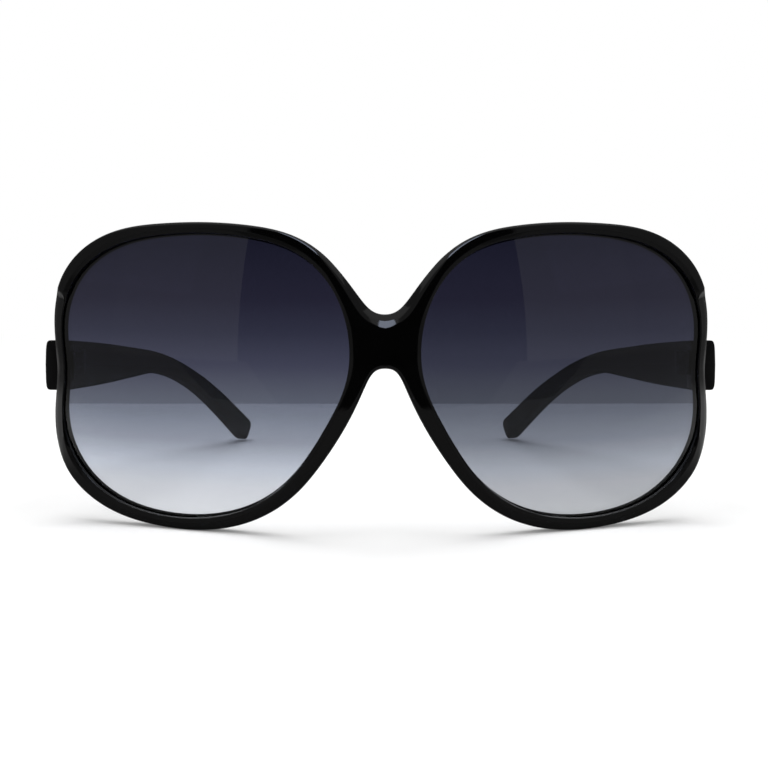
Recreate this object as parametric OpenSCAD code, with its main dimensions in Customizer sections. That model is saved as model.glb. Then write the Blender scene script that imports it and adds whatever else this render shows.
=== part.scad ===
/* [Lenses] */
// Width of each lens opening
lens_w = 63; // [58:0.1:67]
// Height of each lens opening
lens_h = 60.8; // [56:0.1:65]
// Gap between the two lens openings at the bridge
lens_gap = 15; // [14:0.1:18]
// Thickness of each lens
lens_t = 2; // [1.6:0.1:2.3]
// How deep the lens edge sits in the groove of the rim
groove_d = 0.8; // [0.6:0.05:1]
// Radius of the sphere that the front and the lenses follow
front_radius = 138; // [130:1:170]

/* [Front] */
// Width of the rim above the lens, seen from the front
rim_w = 3; // [2.6:0.05:3.8]
// Thickness of the rim from its front face to its back face
rim_t = 4.2; // [3.8:0.05:5]
// Depth of the front lip that holds the lens
lip_t = 1.1; // [0.8:0.05:1.3]
// Width of the small bevel round the lens opening
lip_bevel = 0.5; // [0.3:0.05:0.6]
// Radius of the outer edge of the rim
edge_r = 0.75; // [0.5:0.05:0.9]
// Height of the bottom of the brow notch above the lens centres
bridge_top = 13.8; // [12:0.1:16]
// Height of the top of the nose arch above the lens centres
bridge_arch = 2.3; // [0:0.1:4]
// Width of the polished bevel on the two slopes of the brow notch
notch_bevel_w = 2.3; // [1.4:0.1:2.8]
// Depth of that bevel
notch_bevel_d = 1.5; // [0.8:0.1:1.9]
// Width of the scooped facet on the outer side of each rim
side_facet_w = 1.7; // [1:0.1:1.9]
// Depth of that facet
side_facet_d = 1.6; // [0.8:0.1:1.9]
// Height of the moulded nose pads behind the rims
pad_h = 4.6; // [3:0.1:6]

/* [End pieces] */
// Distance from the back of the rims to the joint faces of the temples
joint_back = 3.9; // [3.6:0.1:6]
// Height of each end piece
end_h = 10; // [9:0.1:10.6]
// Height of the middle of the end pieces above the lens centres
end_z = 0.6; // [0:0.1:3]

/* [Temples] */
// How far the inner faces of the temples lie inside the outer edges of the rims
temple_inside = 1.4; // [1:0.1:2]
// Height of a temple at the joint
temple_h = 11.2; // [10:0.1:12]
// Thickness of a temple at the joint
temple_t = 6; // [5.4:0.1:6.6]
// Length of the temple from the joint to the corner of the bend
shaft_len = 80; // [74:0.5:90]
// Length of the ear piece from the corner of the bend to its end
ear_len = 47.5; // [44:0.5:52]
// Radius of the bend
bend_r = 100; // [70:1:115]
// Angle at which the shafts come together
shaft_in = 8.5; // [7:0.5:10]
// Angle at which the shafts fall towards the back
shaft_down = 4; // [3:0.1:6]
// Angle at which the ear pieces come together
ear_in = 23.5; // [19:0.5:25]
// Angle by which the left temple rests closed, as in the photograph
left_rest_angle = 3.5; // [0:0.5:4]
// Radius of the core wire inside each temple
wire_r = 0.7; // [0.5:0.05:0.8]

/* [Hinges] */
// Height of the middle of each hinge above the middle of the end piece
hinge_rise = 0.7; // [0:0.1:1]
// Distance of the hinge axis from the inner face of the temple
axis_in = 2.2; // [2.1:0.05:2.6]
// Outer radius of the hinge knuckles
knuckle_r = 1.5; // [1.4:0.05:1.6]
// Height of the three knuckles together
barrel_h = 5.2; // [4.6:0.1:6]
// Height of the middle knuckle
middle_h = 1.8; // [1.4:0.1:2]
// Radius of the hinge screw
screw_r = 0.7; // [0.5:0.05:0.8]
// Radius of the head of the hinge screw
screw_head_r = 1.1; // [1:0.05:1.15]
// Height of the head of the hinge screw
screw_head_h = 0.5; // [0.4:0.05:0.6]
// Thickness of the hinge leaves
leaf_t = 1.2; // [1:0.05:1.4]
// Length of the leaf on the temple
leaf_len = 8.5; // [7:0.1:10]
// Radius of the anchor pegs that are sunk in the plastic
peg_r = 0.8; // [0.6:0.05:0.9]

/* [Clearances] */
// Gap round the edge of the lens in its groove
lens_gap_clear = 0.06; // [0.04:0.01:0.1]
// Running gap between the knuckles, and between the joint faces
knuckle_clear = 0.05; // [0.04:0.01:0.08]
// Radial running gap round the hinge screw in the middle knuckle
screw_clear = 0.03; // [0.02:0.01:0.05]
// Gap round the hinge leaves and pegs in their seats
seat_clear = 0.04; // [0.03:0.01:0.06]
// Gap round the core wire in its channel
wire_clear = 0.04; // [0.03:0.01:0.06]

/* [Hidden] */

gloss_black = [0.02, 0.02, 0.025];
matte_black = [0.07, 0.07, 0.075];
hinge_black = [0.12, 0.12, 0.13];
screw_steel = [0.45, 0.45, 0.47];
lens_grey = [0.25, 0.26, 0.34, 0.7];

// Outline of the lens opening as shares of half its width and half its height, every
// 18 degrees from the outer side over the top, the nose side and the bottom
opening_shares = [0.92, 1.065, 1.185, 1.14, 1.03, 0.995, 1.015, 1.095, 1.09, 1.04,
    0.985, 0.9, 0.89, 0.935, 0.97, 0.995, 1.045, 1.13, 1.15, 1.07];
// Width of the rim at the same places as shares of rim_w
rim_shares = [0.89, 1.17, 1.23, 1.13, 0.95, 0.94, 0.96, 1.09, 1.16, 1.17,
    1.27, 1.16, 1.04, 1.07, 1.1, 1.08, 0.95, 1.06, 1.26, 1.11];
// Angles round the lens centre where the rim leaves the bridge, and where the rim's
// sections meet the middle of the bridge at its notch and at its arch
brow_angle = 138;
nose_angle = 208;
notch_angle = 160;
arch_angle = 168;
// Reaches of the curves that run from the rim into the bridge
notch_round = 4.2;
notch_reach = 9.2;
arch_round = 4.4;
arch_reach = 14.8;
// Where the bevel of the brow notch fades out along the brow
fade_from_angle = 108;
fade_to_angle = 150;
// Where the scooped facet starts and ends, and how far its ends take to run out
facet_top_angle = 30;
facet_top_run_angle = 4;
facet_bottom_angle = -37;
facet_bottom_run_angle = 22;
// Room that the facet leaves before the lip, as a share of the lip's bevel
facet_room_share = 1.5;
// Middle and half spread of the nose pads round the lens
pad_middle_angle = 205;
pad_spread_angle = 24;
// Rise of the pads halfway from the lens to the outer edge, as a share of pad_h
pad_inner_share = 0.55;
// Middle of the facet: its depth as shares of edge_r and of the whole depth of the facet
facet_middle_shares = [0.2, 0.58];
// Points of the outer edge from front to back: distance in from the edge as a share of
// edge_r, and depth as shares of edge_r, of rim_t, of the facet and of the rise of the pads
edge_shares = [[0.08, 0.8, 0, 1, 0], [0, 0, 0.6, 0.2, 0],
    [0.15, 0, 0.8, 0, 0.25], [0.6, 0, 0.95, 0, 0.85]];

// Heights and thicknesses of a temple at equal steps along it, as shares of those at
// the joint
height_shares = [1, 0.9, 0.67, 0.45, 0.4, 0.5, 0.6];
thickness_shares = [1, 0.8, 0.66, 0.62, 0.62, 0.66, 0.7];
// Length over which a temple section turns square to the shaft
temple_square = 4;
// Radius of the long edges of a temple
temple_round = 1.5;
// Crown of the outer face of a temple
temple_crown = 0.25;
// Radius of the long edges at the joint and the length over which it grows, as shares
// of the full radius and of the path, and the most that a section has room for
round_shares = [0.6, 0.33, 0.3];
// Rounding of the joint end of a temple, and its steps as shares: distance and inset
front_inset = 0.3;
front_shares = [[0, 1], [0.33, 0.33], [1.5, 0]];
// Rounding of the tip, and its steps as shares: distance from the end and inset
tip_round = 1.6;
tip_shares = [[1.3, 0], [0.6, 0.16], [0.22, 0.45], [0, 1]];
// How far the outer side of a temple stands out over the end piece
end_step = 3.2;
// How deep the end piece is rooted in the rim, the rounding of its outer side, and the
// points of that side: shares of the rounding inwards, and of the way to the joint face
end_root = 0.3;
end_round = 1.2;
end_curve = [[2, 0.08], [0.5, 0.34], [0, 0.63], [0, 0.87], [0.5, 1]];
// Depth of the leaves in their seats, and how far they stand out of them
leaf_proud = 0.5;
seat_depth = 0.4;
// How much lower the leaves are than the barrel
leaf_short = 0.5;
leaf_start = 0.3;
leaf_neck = 0.3;
leaf_back = 0.15;
front_leaf_len = 4.2;
front_peg_len = 1.9;
front_peg_z = 1.25;
temple_peg_len = 1.6;
temple_peg_shares = [0.28, 0.76];
neck_share = 1.2;
// Where the core wire starts and ends, the length over which it comes to the middle of
// the temple, and its place across the temple at the joint and behind
wire_start = 0.3;
wire_short = 9;
wire_ease = 26;
wire_shares = [0.72, 0.5];
// Gap round the screw in the two outer knuckles
screw_seat = 0.01;
screw_slot_w = 0.35;

lens_x = (lens_gap + lens_w) / 2;
half_w = lens_w / 2;
half_h = lens_h / 2;
slot_t = lens_t + 2 * lens_gap_clear;
probe_angle = 0.5;
overrun = 1;
quarter_angle = 90;
turn_angle = 360;

// Stations per half of the front: round the rim, along the two bridge curves and across
rim_steps = 84;
notch_steps = 9;
arch_steps = 11;
seam_steps = 4;
screw_sides_count = 36;
knuckle_sides_count = 48;
dome_sides_count = 250;

function smooth(t) = let (s = min(1, max(0, t))) s * s * (3 - 2 * s);
function lerp(a, b, t) = a + (b - a) * t;
function unit(v) = v / norm(v);

// Closed smooth curve of values at equal steps round the circle
function ring_value(values, angle) = let (
    n = len(values),
    t = full_turn(angle) / turn_angle * n,
    i = floor(t),
    f = t - i,
    v0 = values[(i + n - 1) % n],
    v1 = values[i % n],
    v2 = values[(i + 1) % n],
    v3 = values[(i + 2) % n]
) (pow(1 - f, 3) * v0 + (3 * pow(f, 3) - 6 * f * f + 4) * v1
    + (-3 * pow(f, 3) + 3 * f * f + 3 * f + 1) * v2 + pow(f, 3) * v3) / 6;

// Open smooth curve of values at equal steps from 0 to 1, level at both ends
function line_value(values, share) = let (
    n = len(values) - 1,
    t = min(share, 1) * n,
    i = min(floor(t), n - 1),
    f = t - i,
    v0 = i == 0 ? 2 * values[0] - values[1] : values[i - 1],
    v1 = values[i],
    v2 = values[i + 1],
    v3 = i + 2 > n ? 2 * values[n] - values[n - 1] : values[i + 2]
) (pow(1 - f, 3) * v0 + (3 * pow(f, 3) - 6 * f * f + 4) * v1
    + (-3 * pow(f, 3) + 3 * f * f + 3 * f + 1) * v2 + pow(f, 3) * v3) / 6;

function bezier(p, t) = pow(1 - t, 3) * p[0] + 3 * pow(1 - t, 2) * t * p[1]
    + 3 * (1 - t) * t * t * p[2] + pow(t, 3) * p[3];

// Point behind the place [x, z] of the front, depth below the front sphere
function on_dome(place, depth) = let (
    y = front_radius - sqrt(pow(front_radius, 2) - pow(place.x, 2) - pow(place.y, 2)),
    k = (front_radius - depth) / front_radius
) [place.x * k, front_radius - (front_radius - y) * k, place.y * k];

function opening(angle) = let (r = ring_value(opening_shares, angle))
    [lens_x + half_w * r * cos(angle), half_h * r * sin(angle)];
function outward(angle) = let (d = opening(angle + probe_angle) - opening(angle - probe_angle))
    unit([d.y, -d.x]);
function rim_edge(angle) = opening(angle)
    + outward(angle) * rim_w * ring_value(rim_shares, angle);
function into(run) = [run.y, -run.x];
function bezier_run(p, t) = unit(pow(1 - t, 2) * (p[1] - p[0]) + 2 * (1 - t) * t * (p[2] - p[1])
    + t * t * (p[3] - p[2]));
function rim_run(angle) = unit(rim_edge(angle - probe_angle) - rim_edge(angle + probe_angle));

// Bridge curves, from the bottom of the notch to the brow, and from the nose to the arch
notch_curve = [[0, bridge_top], [notch_round, bridge_top],
    rim_edge(brow_angle) - notch_reach * rim_run(brow_angle), rim_edge(brow_angle)];
arch_curve = [rim_edge(nose_angle), rim_edge(nose_angle) + arch_reach * rim_run(nose_angle),
    [arch_round, bridge_arch], [0, bridge_arch]];

function full_turn(angle) = (angle % turn_angle + turn_angle) % turn_angle;
function notch_bevel(angle) = angle > arch_angle - probe_angle ? 0
    : smooth((angle - fade_from_angle) / (fade_to_angle - fade_from_angle));
function side_facet(angle) = let (a = angle > turn_angle / 2 ? angle - turn_angle : angle)
    smooth((facet_top_angle - a) / facet_top_run_angle)
    * smooth((a - facet_bottom_angle) / facet_bottom_run_angle);
function pad_rise(angle) = let (t = (angle - pad_middle_angle) / pad_spread_angle)
    abs(t) < 1 ? pad_h * pow(1 - t * t, 2) : 0;

// A station: angle on the opening, outer place, direction into the body at the outer
// edge, and for a station on the seam at x = 0 its share of the way from arch to notch
rim_span_angle = turn_angle - nose_angle + brow_angle;
stations = concat(
    [for (i = [0:notch_steps - 1]) let (t = i / notch_steps)
        [lerp(notch_angle, brow_angle, t), bezier(notch_curve, t), into(bezier_run(notch_curve, t))]],
    [for (i = [0:rim_steps]) let (a = brow_angle - rim_span_angle * i / rim_steps)
        [a, rim_edge(a), into(rim_run(a))]],
    [for (i = [1:arch_steps]) let (t = i / arch_steps)
        [lerp(nose_angle, arch_angle, t), bezier(arch_curve, t), into(bezier_run(arch_curve, t))]],
    [for (i = [1:seam_steps - 1]) let (t = i / seam_steps)
        [lerp(arch_angle, notch_angle, t), [0, 0], [0, 0], t]]);
function on_rim(station) = is_undef(station[3]);

// Insets of the outer profile points from the edge, as shares of edge_r
front_share = 1;
back_share = 1.5;
notch_crease = bridge_top - edge_r * front_share - notch_bevel_w;
arch_crease = bridge_arch + edge_r * front_share;

function front_crease(station) = let (
    inner = opening(station[0]),
    room = norm(station[1] - inner) - edge_r - lip_bevel * facet_room_share,
    facet_w = min(notch_bevel_w * notch_bevel(full_turn(station[0]))
        + side_facet_w * side_facet(full_turn(station[0])), room)
) on_rim(station) ? station[1] + station[2] * (edge_r * front_share + facet_w)
    : [0, lerp(arch_crease, notch_crease, station[3])];
function back_crease(station) = on_rim(station) ? station[1] + station[2] * edge_r * back_share
    : [0, lerp(bridge_arch + edge_r * back_share, bridge_top - edge_r * back_share, station[3])];
function across(station) =
    unit((front_crease(station) + back_crease(station)) / 2 - opening(station[0]));

// The bottom of the groove runs straight back, so that the lens can be pushed in
slot_front = lip_t;
slot_back = lip_t + slot_t;
function shrink(depth) = (front_radius - depth) / front_radius;
function groove_place(station, depth) =
    (opening(station[0]) + across(station) * depth) * shrink(slot_front);

// Profile of the rim at a station, a ring of points in three runs: the front lip, the
// front face with the outer edge, and the back face with the groove that holds the lens
function lip_run(station) = let (
    inner = opening(station[0]),
    lip = inner + across(station) * lip_bevel
) [[inner, slot_front], [inner, lip_bevel], [lip, 0], [(lip + front_crease(station)) / 2, 0]];

// The outer side runs straight back where the facet is, so its deeper places are wider
function outer_run(station) = let (
    angle = full_turn(station[0]),
    crease = front_crease(station),
    facet_w = norm(crease - station[1]) - edge_r * front_share,
    scoop = side_facet_d * side_facet(angle),
    facet_d = notch_bevel_d * notch_bevel(angle) + scoop,
    outer = station[1] / shrink(scoop),
    pad = pad_rise(angle)
) concat(
    [[crease, 0], [outer + station[2] * (edge_r + facet_w) / 2,
        edge_r * facet_middle_shares[0] + facet_d * facet_middle_shares[1]]],
    [for (e = edge_shares) [outer + station[2] * edge_r * e[0],
        edge_r * e[1] + rim_t * e[2] + facet_d * e[3] + pad * e[4]]]);

function back_run(station) = let (
    inner = opening(station[0]),
    lip = inner + across(station) * lip_bevel,
    back = back_crease(station),
    pad = pad_rise(full_turn(station[0])),
    groove = groove_place(station, groove_d)
) [[back, rim_t + pad], [(lip + back) / 2, rim_t + pad * pad_inner_share], [lip, rim_t],
    [inner, rim_t - lip_bevel], [inner, slot_back],
    [groove / shrink(slot_back), slot_back], [groove / shrink(slot_front), slot_front]];

function profile(station) = [for (p = concat(lip_run(station), outer_run(station), back_run(station)))
    on_dome(p[0], p[1])];

first_station = stations[0];
front_first = len(lip_run(first_station));
back_first = front_first + len(outer_run(first_station));
profile_count = len(profile(first_station));
station_count = len(stations);
half_points = [for (s = stations) each profile(s)];
front_low = min([for (p = half_points) p.z]);
stand_z = -front_low;

// The temples and hinges take their place from the outer side of the rims
side_back = on_dome(rim_edge(0), rim_t);
butt_y = side_back.y + joint_back;
temple_x = rim_edge(0).x - temple_inside;
axis_x = temple_x - axis_in;
axis_y = butt_y;

// Quads between neighbouring stations; on the seam the outer edge is left open, because
// the other half of the front carries on there
function seam_station(i) = !on_rim(stations[i % station_count]);
function open_quad(i, j) = (seam_station(i) || seam_station(i + 1))
    && j >= front_first && j < back_first;
function on_seam(k) = half_points[k].x == 0;
function mirrored(k) = on_seam(k) ? k : k + len(half_points);
function place_of(i, j) = (i % station_count) * profile_count + j % profile_count;
half_quads = [for (i = [0:station_count - 1], j = [0:profile_count - 1]) if (!open_quad(i, j))
    [place_of(i, j), place_of(i, j + 1), place_of(i + 1, j + 1), place_of(i + 1, j)]];

module front_shell() {
    points = concat(half_points, [for (p = half_points) [-p.x, p.y, p.z]]);
    faces = concat(
        [for (q = half_quads) each [[q[0], q[1], q[2]], [q[0], q[2], q[3]]]],
        [for (q = half_quads) each [
            [mirrored(q[2]), mirrored(q[1]), mirrored(q[0])],
            [mirrored(q[3]), mirrored(q[2]), mirrored(q[0])]]]);
    polyhedron(points, faces, convexity = 8);
}

module stand() {
    translate([0, -middle_y, stand_z])
        children();
}

module both_sides() {
    children();
    mirror([1, 0, 0])
        children();
}

// Place [x, y] on the level section through the outer side of a rim
function plan(from_opening, depth) = let (p = on_dome([opening(0).x + from_opening, 0], depth))
    [p.x, p.y];

module end_piece() {
    outer_x = temple_x + temple_t - end_step;
    root_depth = (slot_back + rim_t) / 2;
    root = plan(rim_edge(0).x - opening(0).x - end_root / 2, root_depth);
    translate([0, 0, end_z - end_h / 2])
        linear_extrude(end_h)
            polygon(concat([plan(end_root, root_depth), root],
                [for (p = end_curve) [outer_x - end_round * p[0], lerp(root.y, butt_y, p[1])]],
                [[axis_x + leaf_proud + seat_depth, butt_y]]));
}

module front_frame() {
    color(gloss_black)
        stand()
            difference() {
                union() {
                    front_shell();
                    both_sides()
                        end_piece();
                }
                both_sides()
                    hinge_front_seat();
            }
}

module lens() {
    outline = [for (s = stations) groove_place(s, groove_d - lens_gap_clear)];
    depth = lip_t + lens_gap_clear;
    intersection() {
        translate([0, butt_y, 0])
            rotate([quarter_angle, 0, 0])
                linear_extrude(butt_y + overrun)
                    polygon(outline);
        translate([0, front_radius, 0])
            difference() {
                sphere(front_radius - depth, $fn = dome_sides_count);
                sphere(front_radius - depth - lens_t, $fn = dome_sides_count);
            }
    }
}

module lens_right() {
    color(lens_grey)
        stand()
            lens();
}

module lens_left() {
    color(lens_grey)
        stand()
            mirror([1, 0, 0])
                lens();
}

module at_axis() {
    translate([axis_x, axis_y, end_z + hinge_rise])
        children();
}

// Turns a temple and its half of the hinge about the hinge axis, closing by an angle
module closed_by(angle) {
    translate([axis_x, axis_y, 0])
        rotate([0, 0, angle])
            translate([-axis_x, -axis_y, 0])
                children();
}

// Upright round bar about the hinge axis, and a peg that points outwards
module pin(height, radius) {
    cylinder(h = height, r = radius, center = true, $fn = screw_sides_count);
}
module barrel(height, radius) {
    cylinder(h = height, r = radius, center = true, $fn = knuckle_sides_count);
}
module peg(length, radius) {
    rotate([0, quarter_angle, 0])
        cylinder(h = length, r = radius, $fn = screw_sides_count);
}
module front_pegs(grow) {
    for (side = [-1, 1])
        translate([leaf_start, -front_leaf_len / 2, side * front_peg_z])
            peg(leaf_t + front_peg_len + grow, peg_r + grow);
}

// Parts of the barrel above and below the middle knuckle
module outer_knuckles() {
    low = middle_h / 2 + knuckle_clear;
    for (side = [-1, 1])
        translate([0, 0, side * (low + barrel_h / 2) / 2])
            barrel(barrel_h / 2 - low, knuckle_r);
}

module hinge_front() {
    leaf_h = barrel_h - leaf_short;
    at_axis()
        difference() {
            union() {
                outer_knuckles();
                translate([leaf_start, -front_leaf_len, -leaf_h / 2])
                    cube([leaf_t, front_leaf_len, leaf_h]);
                front_pegs(0);
            }
            pin(barrel_h + overrun, screw_r + screw_seat);
            barrel(middle_h + 2 * knuckle_clear, knuckle_r + knuckle_clear);
            translate([0, 0, (barrel_h - screw_head_h + overrun) / 2])
                pin(screw_head_h + overrun, screw_head_r + screw_seat);
        }
}

// The room that the front half of the hinge takes in the end piece
module hinge_front_seat() {
    leaf_h = barrel_h - leaf_short;
    at_axis() {
        barrel(barrel_h + 2 * seat_clear, knuckle_r + knuckle_clear);
        translate([leaf_start - overrun, -front_leaf_len - seat_clear, -leaf_h / 2 - seat_clear])
            cube([leaf_t + overrun + seat_clear, front_leaf_len + overrun, leaf_h + 2 * seat_clear]);
        front_pegs(seat_clear);
    }
}

module hinge_front_right() {
    color(hinge_black)
        stand()
            hinge_front();
}

module hinge_front_left() {
    color(hinge_black)
        stand()
            mirror([1, 0, 0])
                hinge_front();
}

// Frame of the inner face of the temple: +X into the temple, +Y along it
module at_temple_face() {
    translate([temple_x, butt_y + knuckle_clear, end_z + hinge_rise])
        rotate([0, 0, shaft_in])
            children();
}

module temple_leaf(grow, inward) {
    leaf_h = barrel_h - leaf_short + 2 * grow;
    at_temple_face() {
        translate([-leaf_proud - inward, leaf_back - inward, -leaf_h / 2])
            cube([leaf_t + grow + inward, leaf_len + grow + inward, leaf_h]);
        for (place = temple_peg_shares * leaf_len)
            translate([0, place, 0])
                peg(leaf_t + temple_peg_len + grow, peg_r + grow);
    }
}

module hinge_temple() {
    difference() {
        union() {
            at_axis() {
                barrel(middle_h, knuckle_r);
                translate([0, 0, -middle_h / 2])
                    linear_extrude(middle_h)
                        polygon([[0, knuckle_clear], [axis_in + leaf_neck, knuckle_clear],
                            [axis_in + leaf_neck, knuckle_r * neck_share], [0, knuckle_r]]);
            }
            temple_leaf(0, 0);
        }
        at_axis()
            pin(barrel_h, screw_r + screw_clear);
    }
}

module hinge_temple_right() {
    color(hinge_black)
        stand()
            hinge_temple();
}

module hinge_temple_left() {
    color(hinge_black)
        stand()
            mirror([1, 0, 0])
                closed_by(left_rest_angle)
                    hinge_temple();
}

module hinge_screw() {
    at_axis()
        difference() {
            union() {
                pin(barrel_h, screw_r);
                translate([0, 0, (barrel_h - screw_head_h) / 2])
                    pin(screw_head_h, screw_head_r);
            }
            translate([-screw_head_r, -screw_slot_w / 2, barrel_h / 2 - screw_head_h / 2])
                cube([2 * screw_head_r, screw_slot_w, screw_head_h]);
        }
}

module hinge_screw_right() {
    color(screw_steel)
        stand()
            hinge_screw();
}

module hinge_screw_left() {
    color(screw_steel)
        stand()
            mirror([1, 0, 0])
                hinge_screw();
}

// Temple path along the middle of the inner face: a straight shaft, the bend and a
// straight ear piece, which falls just as far as lets its end rest beside the rims
function heading(inwards, down) = [-sin(inwards) * cos(down), cos(inwards) * cos(down), -sin(down)];
path_start = [temple_x, butt_y + knuckle_clear, end_z];
shaft_dir = heading(shaft_in, shaft_down);
path_corner = path_start + shaft_dir * shaft_len;
tip_half = temple_h * height_shares[len(height_shares) - 1] / 2;
function tip_rise(down) = tip_round * min([for (e = tip_shares) e[0] * sin(down) + e[1] * cos(down)]);
function ear_fall(down) =
    asin((path_corner.z + stand_z + tip_rise(down) - tip_half * cos(down)) / ear_len);
ear_down = ear_fall(ear_fall(ear_fall(shaft_down)));
ear_dir = heading(ear_in, ear_down);
bend_angle = acos(shaft_dir * ear_dir);
bend_cut = bend_r * tan(bend_angle / 2);
bend_from = shaft_len - bend_cut;
bend_len = bend_r * bend_angle * PI / (2 * quarter_angle);
path_len = bend_from + bend_len + ear_len - bend_cut;
bend_side = unit(ear_dir - shaft_dir * (shaft_dir * ear_dir));

function bent_at(s) = min(bend_angle, max(0, (s - bend_from) / bend_len * bend_angle));
function path_dir(s) = let (a = bent_at(s)) shaft_dir * cos(a) + bend_side * sin(a);
function path_point(s) = let (a = bent_at(s)) path_start
    + shaft_dir * (min(s, bend_from) + bend_r * sin(a)) + bend_side * bend_r * (1 - cos(a))
    + ear_dir * max(0, s - bend_from - bend_len);

// Axes of a temple's section at a length along the path: out of the face, and up
function section_axes(s) = let (
    along = unit(lerp([0, 1, 0], path_dir(s), smooth(s / temple_square))),
    up = unit([0, 0, 1] - along * along.z)
) [cross(along, up), up];
function thickness_at(s) = temple_t * line_value(thickness_shares, s / path_len);

// Rounded section of a temple at a length along the path, drawn in by inset at its ends
function temple_section(s, inset) = let (
    share = s / path_len,
    h = temple_h * line_value(height_shares, share) - 2 * inset,
    t = thickness_at(s) - 2 * inset,
    full_round = temple_round * lerp(round_shares[0], 1, smooth(share / round_shares[1])),
    r = min(full_round, h * round_shares[2], t * round_shares[2]),
    axes = section_axes(s),
    corners = [[1, 1], [0, 1], [0, 0], [1, 0]],
    last = len(corners) - 1,
    ring = [for (i = [0:last]) let (c = corners[i]) each concat(
        [for (k = [0:corner_steps]) let (a = quarter_angle * (i + k / corner_steps))
            [inset + lerp(r, t - r, c[0]) + r * cos(a),
                lerp(r - h / 2, h / 2 - r, c[1]) + r * sin(a)]],
        i == last ? [[inset + t + temple_crown, 0]] : [])]
) [for (p = ring) path_point(s) + axes[0] * p.x + axes[1] * p.y];

body_steps = 30;
temple_stations = concat(
    [for (e = front_shares) [front_inset * e[0], front_inset * e[1]]],
    [for (i = [1:body_steps - 1]) [path_len * i / body_steps, 0]],
    [for (e = tip_shares) [path_len - tip_round * e[0], tip_round * e[1]]]);
corner_steps = 3;
temple_rings = [for (s = temple_stations) temple_section(s[0], s[1])];
// Middle of the whole length, from the front faces of the rims to the temple tips
middle_y = (min([for (p = half_points) p.y]) + max([for (r = temple_rings, p = r) p.y])) / 2;

// Closed skin over rings of as many points each
module skin(rings) {
    n = len(rings[0]);
    last = (len(rings) - 1) * n;
    polyhedron([for (r = rings) each r],
        concat([[for (j = [0:n - 1]) n - 1 - j]],
            [for (i = [0:len(rings) - 2], j = [0:n - 1]) let (
                a = i * n + j,
                b = i * n + (j + 1) % n
            ) each [[a, b + n, a + n], [a, b, b + n]]],
            [[for (j = [0:n - 1]) last + j]]),
        convexity = 6);
}

// The core wire runs beside the hinge at the joint, and then along the middle
wire_steps = 24;
wire_sides_count = 10;
function wire_ring(s, r) = let (
    axes = section_axes(s),
    place = thickness_at(max(0, s)) * lerp(wire_shares[0], wire_shares[1], smooth(s / wire_ease))
) [for (j = [0:wire_sides_count - 1]) let (a = turn_angle * j / wire_sides_count)
    path_point(s) + axes[0] * (place + r * cos(a)) + axes[1] * r * sin(a)];

wire_end = path_len - wire_short;
wire_places = [for (i = [0:wire_steps]) lerp(wire_start, wire_end, i / wire_steps)];
wire_channel_places = concat([-overrun], wire_places, [wire_end + wire_clear]);

module core_wire() {
    skin([for (s = wire_places) wire_ring(s, wire_r)]);
}

module wire_channel() {
    skin([for (s = wire_channel_places) wire_ring(s, wire_r + wire_clear)]);
}

module temple() {
    difference() {
        skin(temple_rings);
        temple_leaf(seat_clear, overrun);
        wire_channel();
    }
}

module temple_right() {
    color(matte_black)
        stand()
            temple();
}

module temple_left() {
    color(matte_black)
        stand()
            mirror([1, 0, 0])
                closed_by(left_rest_angle)
                    temple();
}

module core_wire_right() {
    color(screw_steel)
        stand()
            core_wire();
}

module core_wire_left() {
    color(screw_steel)
        stand()
            mirror([1, 0, 0])
                closed_by(left_rest_angle)
                    core_wire();
}

front_frame();
lens_left();
lens_right();
hinge_front_left();
hinge_front_right();
hinge_temple_left();
hinge_temple_right();
hinge_screw_left();
hinge_screw_right();
temple_left();
temple_right();
core_wire_left();
core_wire_right();
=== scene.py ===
"""Oversized sunglasses: gloss moulded front, gradient lenses and matte temples on a white table."""
import math

import bmesh
import bpy
import numpy as np
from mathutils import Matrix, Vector


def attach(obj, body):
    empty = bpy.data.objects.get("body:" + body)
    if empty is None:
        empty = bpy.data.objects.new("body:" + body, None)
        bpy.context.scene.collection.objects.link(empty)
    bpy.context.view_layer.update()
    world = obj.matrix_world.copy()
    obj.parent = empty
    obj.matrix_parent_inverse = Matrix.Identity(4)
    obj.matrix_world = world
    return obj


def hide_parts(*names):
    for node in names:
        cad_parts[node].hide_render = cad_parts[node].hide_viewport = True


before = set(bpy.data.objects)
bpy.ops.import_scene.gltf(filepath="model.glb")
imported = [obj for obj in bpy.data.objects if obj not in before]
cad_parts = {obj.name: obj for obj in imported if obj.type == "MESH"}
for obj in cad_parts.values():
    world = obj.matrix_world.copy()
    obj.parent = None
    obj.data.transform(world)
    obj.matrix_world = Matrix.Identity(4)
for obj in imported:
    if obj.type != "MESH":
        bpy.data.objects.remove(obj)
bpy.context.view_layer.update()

MM = 0.001

# Sizes of the glasses in millimetres, as in the part's source, apart from the lip, the
# facets on the outer sides and the height of the temples, which are nearer the photograph
LENS_W, LENS_H, LENS_GAP, LENS_T, GROOVE_D = 63.0, 60.8, 15.0, 2.0, 0.8
FRONT_RADIUS = 138.0
RIM_W, RIM_T, LIP_T, LIP_BEVEL, EDGE_R = 3.0, 4.2, 1.1, 0.5, 0.75
LIP_FRONT, LIP_SUNK, LIP_WIDE, LIP_NARROW = 0.4, 0.85, 0.9, 0.12
BRIDGE_TOP, BRIDGE_ARCH = 13.8, 2.3
NOTCH_BEVEL_W, NOTCH_BEVEL_D = 2.3, 1.5
SIDE_FACET_W, SIDE_FACET_D, SIDE_FACET_SUNK, FACET_ROOM = 2.2, 0.75, 0.55, 0.15
PAD_H = 4.6
END_H, END_Z = 10.0, 0.6
TEMPLE_H, TEMPLE_T = 11.5, 6.0
SHAFT_LEN, EAR_LEN, BEND_R = 80.0, 47.5, 100.0
SHAFT_IN, SHAFT_DOWN, EAR_IN = 8.5, 4.0, 23.5
LEFT_REST, AXIS_IN = 3.5, 2.2
TIP_ROUND, TEMPLE_CROWN = 1.6, 0.25
LENS_CLEAR, JOINT_CLEAR = 0.06, 0.05
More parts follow.
